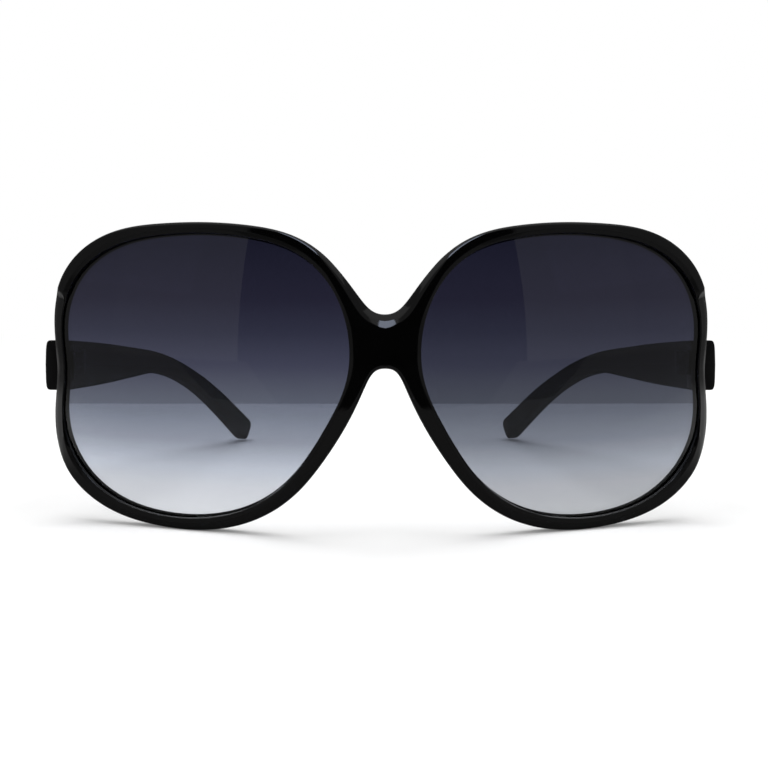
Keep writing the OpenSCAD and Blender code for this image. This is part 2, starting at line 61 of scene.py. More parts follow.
MIDDLE_Y, STAND_Z = 72.7144, 33.5237

# Radius of the lens openings and width of the rims at 20 equal steps round each lens, from
# the outer side over the brow, a little nearer the photograph than the solids are
OPENING = [0.981, 1.114, 1.192, 1.143, 1.042, 1.008, 1.025, 1.095, 1.09, 1.04,
           0.985, 0.9, 0.89, 0.935, 0.978, 1.01, 1.06, 1.136, 1.16, 1.105]
RIM_SHARES = [0.72, 0.62, 1.22, 1.12, 0.85, 0.79, 0.88, 1.09, 1.16, 1.17,
              1.27, 1.25, 1.11, 1.07, 1.02, 0.94, 0.8, 1.0, 1.247, 0.66]
BROW_ANGLE, NOSE_ANGLE, NOTCH_ANGLE, ARCH_ANGLE = 138.0, 208.0, 160.0, 168.0
NOTCH_ROUND, NOTCH_REACH, ARCH_ROUND, ARCH_REACH = 4.2, 9.2, 4.4, 14.8
# Angles between which the bevel of the brow notch rises from nothing, a little nearer the
# notch than on the solids, and how it rises
FADE_FROM, FADE_TO, FADE_POWER = 120.0, 160.0, 1.4
FACET_TOP, FACET_TOP_RUN, FACET_BOTTOM, FACET_BOTTOM_RUN = 30.0, 4.0, -37.0, 22.0
PAD_MIDDLE, PAD_SPREAD = 205.0, 24.0
# Height and thickness of a temple at equal steps from its butt to its tip
HEIGHT_SHARES = [1, 0.9, 0.67, 0.45, 0.4, 0.5, 0.6]
THICKNESS_SHARES = [1, 0.8, 0.66, 0.62, 0.62, 0.66, 0.7]

LENS_X = (LENS_GAP + LENS_W) / 2
SLOT_FRONT, SLOT_BACK = LIP_T, LIP_T + LENS_T + 2 * LENS_CLEAR
# Half the angle over which a direction along the rim is measured
PROBE = 0.5
# Stations of the meshes: round the rim, along the notch, along the arch and on the seam, and
# the bands of a lens from its middle to its edge
FRONT_STEPS, LENS_STEPS, LENS_BANDS = (220, 18, 22, 6), (150, 12, 14, 4), 26
# Edge angle, in degrees, from which the edge of a lens is shaded sharp
LENS_EDGE_ANGLE = 40


def smooth(t):
    """Share from 0 to 1 with soft ends."""
    s = np.clip(t, 0, 1)
    return s * s * (3 - 2 * s)


def ring_value(values, angle):
    """Closed smooth curve of values at equal steps round the circle."""
    n = len(values)
    t = (angle % 360) / 360 * n
    i = int(t)
    f = t - i
    v = [values[(i + k) % n] for k in (-1, 0, 1, 2)]
    return ((1 - f) ** 3 * v[0] + (3 * f ** 3 - 6 * f * f + 4) * v[1]
            + (-3 * f ** 3 + 3 * f * f + 3 * f + 1) * v[2] + f ** 3 * v[3]) / 6


def opening(angle):
    """Edge of the lens opening at an angle round it."""
    r = ring_value(OPENING, angle)
    a = math.radians(angle)
    return np.array([LENS_X + LENS_W / 2 * r * math.cos(a), LENS_H / 2 * r * math.sin(a)])


def outward(angle):
    d = opening(angle + PROBE) - opening(angle - PROBE)
    return np.array([d[1], -d[0]]) / np.linalg.norm(d)


def rim_edge(angle):
    return opening(angle) + outward(angle) * RIM_W * ring_value(RIM_SHARES, angle)


def rim_run(angle):
    d = rim_edge(angle - PROBE) - rim_edge(angle + PROBE)
    return d / np.linalg.norm(d)


def bezier(p, t):
    return ((1 - t) ** 3 * p[0] + 3 * (1 - t) ** 2 * t * p[1] + 3 * (1 - t) * t * t * p[2]
            + t ** 3 * p[3])


def bezier_run(p, t):
    d = (1 - t) ** 2 * (p[1] - p[0]) + 2 * (1 - t) * t * (p[2] - p[1]) + t * t * (p[3] - p[2])
    return d / np.linalg.norm(d)


def into(run):
    """Way into the body, across the way round its outer edge."""
    return np.array([run[1], -run[0]])


def on_dome(seen, depth):
    """Point behind a place (x, z) of the front, by a depth below the sphere that it follows."""
    y = FRONT_RADIUS - math.sqrt(FRONT_RADIUS ** 2 - seen[0] ** 2 - seen[1] ** 2)
    k = (FRONT_RADIUS - depth) / FRONT_RADIUS
    return np.array([seen[0] * k, FRONT_RADIUS - (FRONT_RADIUS - y) * k, seen[1] * k])


def stations(rim_steps, notch_steps, arch_steps, seam_steps):
    """Places round one half of the front, each with its angle round the lens, its outer edge,
    the way into the body, and its share along the seam in the middle, or None off it."""
    notch = [np.array([0, BRIDGE_TOP]), np.array([NOTCH_ROUND, BRIDGE_TOP]),
             rim_edge(BROW_ANGLE) - NOTCH_REACH * rim_run(BROW_ANGLE), rim_edge(BROW_ANGLE)]
    arch = [rim_edge(NOSE_ANGLE), rim_edge(NOSE_ANGLE) + ARCH_REACH * rim_run(NOSE_ANGLE),
            np.array([ARCH_ROUND, BRIDGE_ARCH]), np.array([0, BRIDGE_ARCH])]
    rows = []
    for i in range(notch_steps):
        t = i / notch_steps
        rows.append((NOTCH_ANGLE + (BROW_ANGLE - NOTCH_ANGLE) * t, bezier(notch, t),
                     into(bezier_run(notch, t)), None))
    span = 360 - NOSE_ANGLE + BROW_ANGLE
    for i in range(rim_steps + 1):
        a = BROW_ANGLE - span * i / rim_steps
        rows.append((a, rim_edge(a), into(rim_run(a)), None))
    for i in range(1, arch_steps + 1):
        t = i / arch_steps
        rows.append((NOSE_ANGLE + (ARCH_ANGLE - NOSE_ANGLE) * t, bezier(arch, t),
                     into(bezier_run(arch, t)), None))
    for i in range(1, seam_steps):
        t = i / seam_steps
        rows.append((ARCH_ANGLE + (NOTCH_ANGLE - ARCH_ANGLE) * t, np.zeros(2), np.zeros(2), t))
    return rows


def notch_share(angle):
    """How much of the notch's bevel there is at an angle."""
    a = angle % 360
    if a > ARCH_ANGLE - PROBE:
        return 0.0
    return min(1.0, max(0.0, (a - FADE_FROM) / (FADE_TO - FADE_FROM))) ** FADE_POWER


def facet_share(angle):
    """How much of the outer side's facet there is at an angle."""
    a = (angle + 180) % 360 - 180
    top = smooth((FACET_TOP - a) / FACET_TOP_RUN)
    return float(top * smooth((a - FACET_BOTTOM) / FACET_BOTTOM_RUN))


def pad_rise(angle):
    """How far the moulded nose pad stands out behind the rim at an angle."""
    t = (angle % 360 - PAD_MIDDLE) / PAD_SPREAD
    return PAD_H * (1 - t * t) ** 2 if abs(t) < 1 else 0.0


def creases(row):
    """Inner ends of the rounded front and back edges of a station, and the width of its bevel."""
    angle, outer, inwards, seam = row
    room = np.linalg.norm(outer - opening(angle)) - EDGE_R - FACET_ROOM
    wide = min(NOTCH_BEVEL_W * notch_share(angle) + SIDE_FACET_W * facet_share(angle), room)
    if seam is not None:
        low_front, high_front = BRIDGE_ARCH + EDGE_R, BRIDGE_TOP - EDGE_R - NOTCH_BEVEL_W
        low_back, high_back = BRIDGE_ARCH + EDGE_R * 1.5, BRIDGE_TOP - EDGE_R * 1.5
        return (np.array([0, low_front + (high_front - low_front) * seam]),
                np.array([0, low_back + (high_back - low_back) * seam]), wide)
    return outer + inwards * (EDGE_R + wide), outer + inwards * EDGE_R * 1.5, wide


def across(row):
    """Way from the lens opening into the rim at a station."""
    front, back, _ = creases(row)
    d = (front + back) / 2 - opening(row[0])
    return d / np.linalg.norm(d)


def shrink(depth):
    """Size of the sphere at a depth, as a share of the front's."""
    return (FRONT_RADIUS - depth) / FRONT_RADIUS


def groove_place(row, depth):
    """Place in the lens groove, a depth out from the opening."""
    return (opening(row[0]) + across(row) * depth) * shrink(SLOT_FRONT)


# Depth at the middle of a bevel as a share of its whole depth, and how much less in the notch
BEVEL_SAG, NOTCH_SAG = 0.58, 0.1


def rim_profile(row):
    """Ring of points round the section of the rim at a station, from the lens slot over the
    front, the outer side and the back to the groove."""
    angle, outer, inwards, _ = row
    inner = opening(angle)
    front, back, wide = creases(row)
    scoop = SIDE_FACET_D * facet_share(angle)
    sunk = SIDE_FACET_SUNK * facet_share(angle)
    deep = NOTCH_BEVEL_D * notch_share(angle) + scoop
    far = outer / shrink(scoop)
    pad = pad_rise(angle)
    lip = inner + across(row) * LIP_BEVEL
    near = inner + across(row) * (LIP_WIDE + (LIP_NARROW - LIP_WIDE) * facet_share(angle))
    lip_front = LIP_FRONT + (LIP_SUNK - LIP_FRONT) * facet_share(angle)
    groove = groove_place(row, GROOVE_D)
    sag = BEVEL_SAG - NOTCH_SAG * notch_share(angle)
    places = [
        (inner, SLOT_FRONT), (inner, lip_front),
        (near, sunk), ((near + front) / 2, sunk), (front, sunk),
        (far + inwards * (EDGE_R + wide) / 2, EDGE_R * 0.2 + sunk * 0.6 + deep * sag),
        (far + inwards * EDGE_R * 0.08, EDGE_R * 0.8 + deep),
        (far, RIM_T * 0.6 + deep * 0.2),
        (far + inwards * EDGE_R * 0.15, RIM_T * 0.8 + pad * 0.25),
        (far + inwards * EDGE_R * 0.6, RIM_T * 0.95 + pad * 0.85),
        (back, RIM_T + pad), ((lip + back) / 2, RIM_T + pad * 0.55), (lip, RIM_T),
        (inner, RIM_T - LIP_BEVEL), (inner, SLOT_BACK),
        (groove / shrink(SLOT_BACK), SLOT_BACK), (groove / shrink(SLOT_FRONT), SLOT_FRONT)]
    return [on_dome(p, d) for p, d in places]


def place(points):
    """From the maker's frame, on the middle of the lenses, to the standing glasses, in metres."""
    p = np.asarray(points, float) - np.array([0, MIDDLE_Y, -STAND_Z])
    return p * MM


def mesh_piece(name, points, faces):
    mesh = bpy.data.meshes.new(name)
    mesh.from_pydata([tuple(p) for p in points], [], [tuple(f) for f in faces])
    mesh.update()
    piece = bpy.data.objects.new(name, mesh)
    bpy.context.scene.collection.objects.link(piece)
    return piece


def shade_smooth(mesh):
    mesh.polygons.foreach_set("use_smooth", [True] * len(mesh.polygons))


def settle(piece):
    """Turns what the modifiers make into a plain mesh and takes the modifiers off."""
    graph = bpy.context.evaluated_depsgraph_get()
    made = bpy.data.meshes.new_from_object(piece.evaluated_get(graph))
    made.name = piece.name
    piece.modifiers.clear()
    piece.data = made


ON_MIDDLE, WELD = 1e-8, 1e-7


def face_outwards(piece, halves=False):
    """Turns all faces outwards, after the seam of two mirrored halves is welded."""
    bm = bmesh.new()
    bm.from_mesh(piece.data)
    if halves:
        middle = [v for v in bm.verts if abs(v.co.x) < ON_MIDDLE]
        bmesh.ops.remove_doubles(bm, verts=middle, dist=WELD)
        bmesh.ops.delete(bm, geom=[v for v in bm.verts if not v.link_faces], context="VERTS")
    bmesh.ops.recalc_face_normals(bm, faces=bm.faces)
    bm.to_mesh(piece.data)
    bm.free()


def even_shading(piece):
    """Shades rounded edges smooth and keeps the broad faces beside them flat."""
    shade_smooth(piece.data)
    evened = piece.modifiers.new("evened", "WEIGHTED_NORMAL")
    evened.mode, evened.weight, evened.keep_sharp = "FACE_AREA", 60, False
    settle(piece)


# Rounding of each point of a rim section in millimetres, where the rim is plain and where a
# bevel or a facet is cut
CORNERS = [(0.05, 0.05), (0.14, 0.14), (0.16, 0.16), (0.9, 0.5), (0.8, 0.16), (1.0, 0.9),
           (0.6, 0.3), (1, 1), (1, 1), (1, 1), (0.6, 0.6), (0.5, 0.5), (0.14, 0.14), (0.14, 0.14),
           (0.05, 0.05), (0.03, 0.03), (0.03, 0.03)]
# More rounding of the notch's crease half way up its rise, less in the middle of its bevel
NOTCH_CREASE_ROUND, NOTCH_MIDDLE_SHARP = 2.6, 0.6
# Points of the section at the inner ends of the rounded edges, and round the outer side
FRONT_CREASE, BACK_CREASE, OUTER_POINTS = 4, 10, range(5, 10)
# Steps of an arc, and the share of a side that it may take, so that two never meet
ARC, ARC_LIMIT = 4, 0.48


def rounded_ring(row, first_or_last):
    """The section of a station with each corner rounded by an arc."""
    ring = rim_profile(row)
    n = len(ring)
    notch, on_seam = notch_share(row[0]), row[3] is not None
    cut = 1.0 if on_seam else min(1.0, notch + facet_share(row[0]))
    points = []
    for j, p in enumerate(ring):
        r = CORNERS[j][0] + (CORNERS[j][1] - CORNERS[j][0]) * cut
        if j == FRONT_CREASE:
            r += NOTCH_CREASE_ROUND * notch * (1 - notch)
        if j == FRONT_CREASE + 1:
            r -= NOTCH_MIDDLE_SHARP * notch
        before, after = ring[j - 1] - p, ring[(j + 1) % n] - p
        share_before = min(ARC_LIMIT, r / np.linalg.norm(before))
        share_after = min(ARC_LIMIT, r / np.linalg.norm(after))
        if j in (FRONT_CREASE, BACK_CREASE) and on_seam:
            share_before = share_after = 0
        if first_or_last and j == FRONT_CREASE:
            share_before = 0
        if first_or_last and j == BACK_CREASE:
            share_after = 0
        if j in OUTER_POINTS and not on_seam:
            p = p - (before * share_before + after * share_after) / 4
        start, end = ring[j] + before * share_before, ring[j] + after * share_after
        for k in range(ARC + 1):
            t = k / ARC
            points.append((1 - t) ** 2 * start + 2 * (1 - t) * t * p + t * t * end)
    return points


def build_front():
    """Both rims, the bridge and the nose pads as one moulded piece."""
    rows = stations(*FRONT_STEPS)
    last_arch = sum(FRONT_STEPS[:3])
    count, ring = len(rows), len(CORNERS) * (ARC + 1)
    half = []
    for i, row in enumerate(rows):
        half += rounded_ring(row, i in (0, last_arch))
    seam = [row[3] is not None for row in rows]
    open_from, open_to = FRONT_CREASE * (ARC + 1), BACK_CREASE * (ARC + 1) + ARC
    faces = []
    for i in range(count):
        n = (i + 1) % count
        for j in range(ring):
            if (seam[i] or seam[n]) and open_from <= j < open_to:
                continue
            k = (j + 1) % ring
            faces.append((i * ring + j, i * ring + k, n * ring + k, n * ring + j))
    total = len(half)
    points = half + [np.array([-p[0], p[1], p[2]]) for p in half]
    faces += [tuple(total + v for v in reversed(f)) for f in faces]
    piece = mesh_piece("front_shell", place(points), faces)
    face_outwards(piece, halves=True)
    even_shading(piece)
    return piece


front = build_front()
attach(front, "front")
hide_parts("front_frame")


def lens_piece(name, side):
    """A curved lens: a dome inside its outline, with a straight edge."""
    rows = stations(*LENS_STEPS)
    outline = [groove_place(r, GROOVE_D - LENS_CLEAR) / shrink(SLOT_FRONT) for r in rows]
    centre = np.array([LENS_X, 0.0])
    front_depth, back_depth = LIP_T + LENS_CLEAR, LIP_T + LENS_CLEAR + LENS_T
    bands = LENS_BANDS
    points, faces = [], []
    n = len(outline)

    def dome(depth, share):
        k = shrink(SLOT_FRONT) / shrink(depth)
        return [on_dome((centre + (o - centre) * share) * k, depth) for o in outline]

    shares = [math.sin(math.pi / 2 * b / bands) for b in range(1, bands + 1)]
    points.append(on_dome(centre, front_depth))
    for s in shares:
        points += dome(front_depth, s)
    front_last = 1 + (bands - 1) * n
    back_first = len(points)
    for s in reversed(shares):
        points += dome(back_depth, s)
    points.append(on_dome(centre, back_depth))
    last = len(points) - 1
    for j in range(n):
        k = (j + 1) % n
        faces.append((0, 1 + k, 1 + j))
        for b in range(bands - 1):
            a, c = 1 + b * n, 1 + (b + 1) * n
            faces.append((a + j, a + k, c + k, c + j))
        faces.append((front_last + j, front_last + k, back_first + k, back_first + j))
        for b in range(bands - 1):
            a, c = back_first + b * n, back_first + (b + 1) * n
            faces.append((a + j, a + k, c + k, c + j))
        faces.append((last, back_first + (bands - 1) * n + j, back_first + (bands - 1) * n + k))
    pts = place(points)
    pts[:, 0] *= side
    piece = mesh_piece(name, pts, faces)
    bm = bmesh.new()
    bm.from_mesh(piece.data)
    bmesh.ops.recalc_face_normals(bm, faces=bm.faces)
    for f in bm.faces:
        f.smooth = True
    for e in bm.edges:
        if len(e.link_faces) == 2 and e.calc_face_angle() > math.radians(LENS_EDGE_ANGLE):
            e.smooth = False
    bm.to_mesh(piece.data)
    bm.free()
    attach(piece, "front")
    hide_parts("lens_right" if side > 0 else "lens_left")
    return piece


lens_right = lens_piece("lens_glass_right", 1)
lens_left = lens_piece("lens_glass_left", -1)


def new_tree(name, inputs):
    """A Geometry Nodes tree with named inputs, and their identifiers."""
    tree = bpy.data.node_groups.new(name, "GeometryNodeTree")
    tree.interface.new_socket("Geometry", in_out="OUTPUT", socket_type="NodeSocketGeometry")
    ids = {}
    for label, kind, value in inputs:
        socket = tree.interface.new_socket(label, in_out="INPUT", socket_type=kind)
        if value is not None:
            socket.default_value = value
        ids[label] = socket.identifier
    return tree, ids


class Wiring:
    """Adds nodes to a tree; a value of theirs is a number, or a socket to link."""

    def __init__(self, tree):
        self.tree = tree

    def node(self, kind, values=None, **settings):
        made = self.tree.nodes.new(kind)
        for key, value in settings.items():
            setattr(made, key, value)
        for key, value in (values or {}).items():
            socket = made.inputs[key]
            if isinstance(value, bpy.types.NodeSocket):
                self.tree.links.new(value, socket)
            else:
                socket.default_value = value
        return made

    def math(self, operation, a, b=0.0):
        return self.node("ShaderNodeMath", {0: a, 1: b}, operation=operation).outputs[0]

    def vector(self, operation, a, b=None, scale=None):
        values = {0: a}
        if b is not None:
            values[1] = b
        if scale is not None:
            values["Scale"] = scale
        made = self.node("ShaderNodeVectorMath", values, operation=operation)
        return made.outputs["Value" if operation == "LENGTH" else "Vector"]


def curve_of_shares(wiring, shares, factor):
    """Float Curve along the soft line that the shares pull at equal steps."""
    n = len(shares) - 1
    soft = [(shares[i - 1] + 4 * shares[i] + shares[i + 1]) / 6 if 0 < i < n else shares[i]
            for i in range(n + 1)]
    made = wiring.node("ShaderNodeFloatCurve", {"Value": factor})
    line = made.mapping.curves[0]
    line.points[0].location = (0, soft[0])
    line.points[1].location = (1, soft[-1])
    for i in range(1, n):
        line.points.new(i / n, soft[i])
    made.mapping.update()
    return made.outputs["Value"]


# Path and surface of a temple: steps of its bend, stations along it and round its section,
# and how much closer together they stand at both ends
BEND_STEPS, TEMPLE_STATIONS, TEMPLE_ROUND, END_CROWDING = 60, 200, 97, 0.145
# Roundness of its tip and of its butt, and the length over which it turns square to the joint
TIP_POWER, BUTT_POWER, SQUARE_SHARE = 2.2, 2.0, 4 / 125.85
# Distances under which points of its path and of its surface are one, in metres
PATH_WELD, SURFACE_WELD = 1e-6, 2e-6


def temple_tree():
    """A temple: a squared-round section carried along a shaft, a bend and an ear piece."""
    tree, ids = new_tree("temple sweep", [
        ("Shaft start", "NodeSocketVector", None), ("Bend corner", "NodeSocketVector", None),
        ("Ear end", "NodeSocketVector", None), ("Joint run", "NodeSocketVector", None),
        ("Bend radius", "NodeSocketFloat", BEND_R * MM),
        ("Height", "NodeSocketFloat", TEMPLE_H * MM),
        ("Thickness", "NodeSocketFloat", TEMPLE_T * MM),
        ("Crown", "NodeSocketFloat", TEMPLE_CROWN * MM), ("Outward", "NodeSocketFloat", 1.0),
        ("Squareness", "NodeSocketFloat", 10.0), ("Softening", "NodeSocketFloat", 5.0),
        ("Tip share", "NodeSocketFloat", 0.03), ("Butt share", "NodeSocketFloat", 0.004),
        ("Square share", "NodeSocketFloat", SQUARE_SHARE),
        ("Finish", "NodeSocketMaterial", None)])
    w = Wiring(tree)
    given = w.node("NodeGroupInput").outputs
    # Path
    start = w.node("GeometryNodeCurvePrimitiveLine",
                   {"Start": given["Shaft start"], "End": given["Bend corner"]})
    ear = w.node("GeometryNodeCurvePrimitiveLine",
                 {"Start": given["Bend corner"], "End": given["Ear end"]})
    joined = w.node("GeometryNodeJoinGeometry")
    tree.links.new(ear.outputs[0], joined.inputs[0])
    tree.links.new(start.outputs[0], joined.inputs[0])
    both = w.node("GeometryNodeCurveToMesh", {"Curve": joined.outputs[0]})
    merged = w.node("GeometryNodeMergeByDistance",
                    {"Geometry": both.outputs[0], "Distance": PATH_WELD})
    path = w.node("GeometryNodeMeshToCurve", {"Mesh": merged.outputs[0]})
    bent = w.node("GeometryNodeFilletCurve", {
        "Curve": path.outputs[0], "Radius": given["Bend radius"], "Count": BEND_STEPS,
        "Limit Radius": True}, mode="POLY")
    # Grid of the surface: u along the temple, v round its section
    grid = w.node("GeometryNodeMeshGrid", {
        "Size X": 1.0, "Size Y": 1.0, "Vertices X": TEMPLE_STATIONS, "Vertices Y": TEMPLE_ROUND})
    at = w.node("ShaderNodeSeparateXYZ", {0: w.node("GeometryNodeInputPosition").outputs[0]})
    u = w.math("ADD", at.outputs[0], 0.5)
    v = w.math("ADD", at.outputs[1], 0.5)
    # Stations stand closer together at both ends
    wave = w.math("SINE", w.math("MULTIPLY", u, 2 * math.pi))
    spread = w.math("SUBTRACT", u, w.math("MULTIPLY", wave, END_CROWDING))
    u = w.math("MINIMUM", w.math("MAXIMUM", spread, 0.0), 1.0)
    on = w.node("GeometryNodeSampleCurve", {"Curves": bent.outputs[0], "Factor": u}, mode="FACTOR")
    outputs = {o.name: o for o in on.outputs if o.enabled}
    spot, run = outputs["Position"], outputs["Tangent"]
    turn = w.node("ShaderNodeMapRange", {"Value": u, "From Max": given["Square share"]},
                  interpolation_type="SMOOTHSTEP")
    mixed = w.node("ShaderNodeMix", {"Factor": turn.outputs[0]}, data_type="VECTOR")
    ins = [s for s in mixed.inputs if s.enabled and s.type == "VECTOR"]
    tree.links.new(given["Joint run"], ins[0])
    tree.links.new(run, ins[1])
    along = w.vector("NORMALIZE", [s for s in mixed.outputs if s.enabled][0])
    climb = w.node("ShaderNodeSeparateXYZ", {0: along}).outputs[2]
    lean = w.vector("SCALE", along, scale=climb)
    up = w.vector("NORMALIZE", w.vector("SUBTRACT", (0, 0, 1), lean))
    out = w.vector("SCALE", w.vector("CROSS_PRODUCT", along, up), scale=given["Outward"])
    # Section sizes, drawn in at the butt and at the rounded tip
    high = w.math("MULTIPLY", curve_of_shares(w, HEIGHT_SHARES, u), given["Height"])
    thick = w.math("MULTIPLY", curve_of_shares(w, THICKNESS_SHARES, u), given["Thickness"])

    def rounding(distance, reach, power):
        """1 away from the end, falling to 0 at it on a rounded line."""
        gone = w.math("SUBTRACT", 1.0, w.math("MINIMUM", w.math("DIVIDE", distance, reach), 1.0))
        left = w.math("SUBTRACT", 1.0, w.math("POWER", gone, power))
        return w.math("POWER", w.math("MAXIMUM", left, 0.0), 1 / power)

    tip = rounding(w.math("SUBTRACT", 1.0, u), given["Tip share"], TIP_POWER)
    butt = rounding(u, given["Butt share"], BUTT_POWER)
    draw = w.math("MULTIPLY", butt, tip)
    # Squared-round ring, softer towards the tip
    turn_angle = w.math("MULTIPLY", v, 2 * math.pi)
    softer = w.math("MULTIPLY", u, given["Softening"])
    power = w.math("DIVIDE", 2.0, w.math("SUBTRACT", given["Squareness"], softer))

    def lobe(kind):
        value = w.math(kind, turn_angle)
        return w.math("MULTIPLY", w.math("SIGN", value),
                      w.math("POWER", w.math("ABSOLUTE", value), power))

    side = w.math("MULTIPLY", lobe("COSINE"), draw)
    rise = w.math("MULTIPLY", lobe("SINE"), draw)
    off = w.math("MULTIPLY", w.math("ADD", w.math("MULTIPLY", side, 0.5), 0.5), thick)
    # The outer face is slightly crowned
    crowned = w.math("MAXIMUM", w.math("SUBTRACT", 1.0, w.math("MULTIPLY", rise, rise)), 0.0)
    outer_face = w.math("MULTIPLY", w.math("MAXIMUM", side, 0.0), crowned)
    off = w.math("ADD", off, w.math("MULTIPLY", outer_face, given["Crown"]))
    lift = w.math("MULTIPLY", w.math("MULTIPLY", rise, 0.5), high)
    where = w.vector("ADD", spot, w.vector("ADD", w.vector("SCALE", out, scale=off),
                                           w.vector("SCALE", up, scale=lift)))
    shaped = w.node("GeometryNodeSetPosition", {"Geometry": grid.outputs[0], "Position": where})
    closed = w.node("GeometryNodeMergeByDistance",
                    {"Geometry": shaped.outputs[0], "Distance": SURFACE_WELD})
    real = w.node("GeometryNodeRealizeInstances", {0: closed.outputs[0]})
    finish = w.node("GeometryNodeSetMaterial",
                    {"Geometry": real.outputs[0], "Material": given["Finish"]})
    w.node("NodeGroupOutput", {0: finish.outputs[0]})
    return tree, ids


def made_by(name, tree, ids, values):
    """A piece whose mesh is what a Geometry Nodes tree makes from these values."""
    mesh = bpy.data.meshes.new(name)
    piece = bpy.data.objects.new(name, mesh)
    bpy.context.scene.collection.objects.link(piece)
    modifier = piece.modifiers.new("nodes", "NODES")
    modifier.node_group = tree
    for label, value in values.items():
        modifier[ids[label]] = value
    bpy.context.view_layer.update()
    settle(piece)
    face_outwards(piece)
    even_shading(piece)
    return piece


def heading(inwards, down):
    """Way that runs back, turned inwards and down by these angles."""
    a, d = math.radians(inwards), math.radians(down)
    return np.array([-math.sin(a) * math.cos(d), math.cos(a) * math.cos(d), -math.sin(d)])


# Joint face and inner face of the right temple
BUTT_Y, TEMPLE_X = 28.0217, 71.0486
AXIS = np.array([TEMPLE_X - AXIS_IN, BUTT_Y, 0.0])
shaft_start = np.array([TEMPLE_X, BUTT_Y + JOINT_CLEAR, END_Z])
bend_corner = shaft_start + heading(SHAFT_IN, SHAFT_DOWN) * SHAFT_LEN
# Rounding of the tip: shares of its radius that it is cut short by along and across
TIP_SHARES = [(1.3, 0), (0.6, 0.16), (0.22, 0.45), (0, 1)]


def ear_fall(down):
    """Angle at which the ear piece brings its tip to the table, from a first guess of it."""
    d = math.radians(down)
    tip_rise = TIP_ROUND * min(a * math.sin(d) + b * math.cos(d) for a, b in TIP_SHARES)
    tip_half = TEMPLE_H * HEIGHT_SHARES[-1] / 2
    height = bend_corner[2] + STAND_Z + tip_rise - tip_half * math.cos(d)
    return math.degrees(math.asin(height / EAR_LEN))


EAR_DOWN = ear_fall(ear_fall(ear_fall(SHAFT_DOWN)))
ear_end = bend_corner + heading(EAR_IN, EAR_DOWN) * EAR_LEN


def closed_by(point, angle):
    """Turns a place of the right temple about the hinge axis, closing it by an angle."""
    a = math.radians(angle)
    x, y = point[0] - AXIS[0], point[1] - AXIS[1]
    return np.array([AXIS[0] + x * math.cos(a) - y * math.sin(a),
                     AXIS[1] + x * math.sin(a) + y * math.cos(a), point[2]])


sweep, sweep_ids = temple_tree()


def finish_material(name):
    """An empty material with its shader, and the wiring of its tree."""
    material = bpy.data.materials.new(name)
    material.use_nodes = True
    tree = material.node_tree
    tree.nodes.clear()
    out = tree.nodes.new("ShaderNodeOutputMaterial")
    shader = tree.nodes.new("ShaderNodeBsdfPrincipled")
    tree.links.new(shader.outputs[0], out.inputs[0])
    return material, Wiring(tree), shader


def object_place(w):
    """Place on the piece, which a pattern follows."""
    return w.node("ShaderNodeTexCoord").outputs["Object"]


def set_tone(w, shader, factor, stops):
    """Colour of a finish along stops of a place and a colour each."""
    ramp = w.node("ShaderNodeValToRGB", {"Fac": factor})
    elements = ramp.color_ramp.elements
    while len(elements) < len(stops):
        elements.new(0.5)
    for element, (at, colour) in zip(elements, stops):
        element.position = at
        element.color = (*colour, 1)
    w.tree.links.new(ramp.outputs["Color"], shader.inputs["Base Color"])


def set_roughness(w, shader, value, low, high, first=0.0, last=1.0):
    """Roughness of a finish from low to high, as a value goes from first to last."""
    spread = w.node("ShaderNodeMapRange", {"Value": value, "From Min": first, "From Max": last,
                                           "To Min": low, "To Max": high})
    w.tree.links.new(spread.outputs[0], shader.inputs["Roughness"])


def set_bump(w, shader, height, strength, distance):
    """Relief of a finish, of a distance in metres."""
    bump = w.node("ShaderNodeBump", {"Strength": strength, "Distance": distance, "Height": height})
    w.tree.links.new(bump.outputs[0], shader.inputs["Normal"])


def gloss_black():
    """Polished black front: deep gloss with a faint unevenness of the polish."""
    material, w, shader = finish_material("gloss_black_front")
    at = object_place(w)
    haze = w.node("ShaderNodeTexNoise",
                  {"Vector": at, "Scale": 90.0, "Detail": 4.0, "Roughness": 0.55}).outputs[0]
    fine = w.node("ShaderNodeTexNoise", {"Vector": at, "Scale": 1400.0, "Detail": 2.0}).outputs[0]
    set_tone(w, shader, haze, [(0.3, (0.0004, 0.0004, 0.00045)), (0.75, (0.0009, 0.0009, 0.001))])
    set_roughness(w, shader, haze, 0.05, 0.08, 0.3, 0.7)
    set_bump(w, shader, fine, 0.03, 0.0001)
    shader.inputs["IOR"].default_value = 1.5
    shader.inputs["Specular IOR Level"].default_value = 0.35
    return material


def matte_black():
    """Soft-touch moulded black of the temples: fine grain, faint colour drift."""
    material, w, shader = finish_material("matte_black_temple")
    at = object_place(w)
    grain = w.node("ShaderNodeTexNoise",
                   {"Vector": at, "Scale": 5200.0, "Detail": 3.0, "Roughness": 0.6}).outputs[0]
    drift = w.node("ShaderNodeTexNoise", {"Vector": at, "Scale": 70.0, "Detail": 3.0}).outputs[0]
    set_tone(w, shader, drift, [(0.3, (0.0018, 0.0018, 0.0021)), (0.75, (0.0034, 0.0034, 0.0038))])
    set_roughness(w, shader, drift, 0.46, 0.58, 0.3, 0.7)
    set_bump(w, shader, grain, 0.35, 0.00006)
    shader.inputs["Specular IOR Level"].default_value = 0.18
    return material


# Tint of the lens by height above the table, in millimetres, up to TINT_TOP
TINT = [(3.0, (0.7, 0.72, 0.75)), (10.0, (0.57, 0.59, 0.64)), (14.0, (0.455, 0.49, 0.56)),
        (20.0, (0.235, 0.257, 0.315)), (26.0, (0.145, 0.162, 0.21)), (36.0, (0.064, 0.068, 0.111)),
        (43.0, (0.035, 0.037, 0.066)), (50.0, (0.021, 0.0205, 0.041)),
        (62.0, (0.0122, 0.0126, 0.027))]
TINT_TOP, TINT_DRIFT = 66.0, 0.012


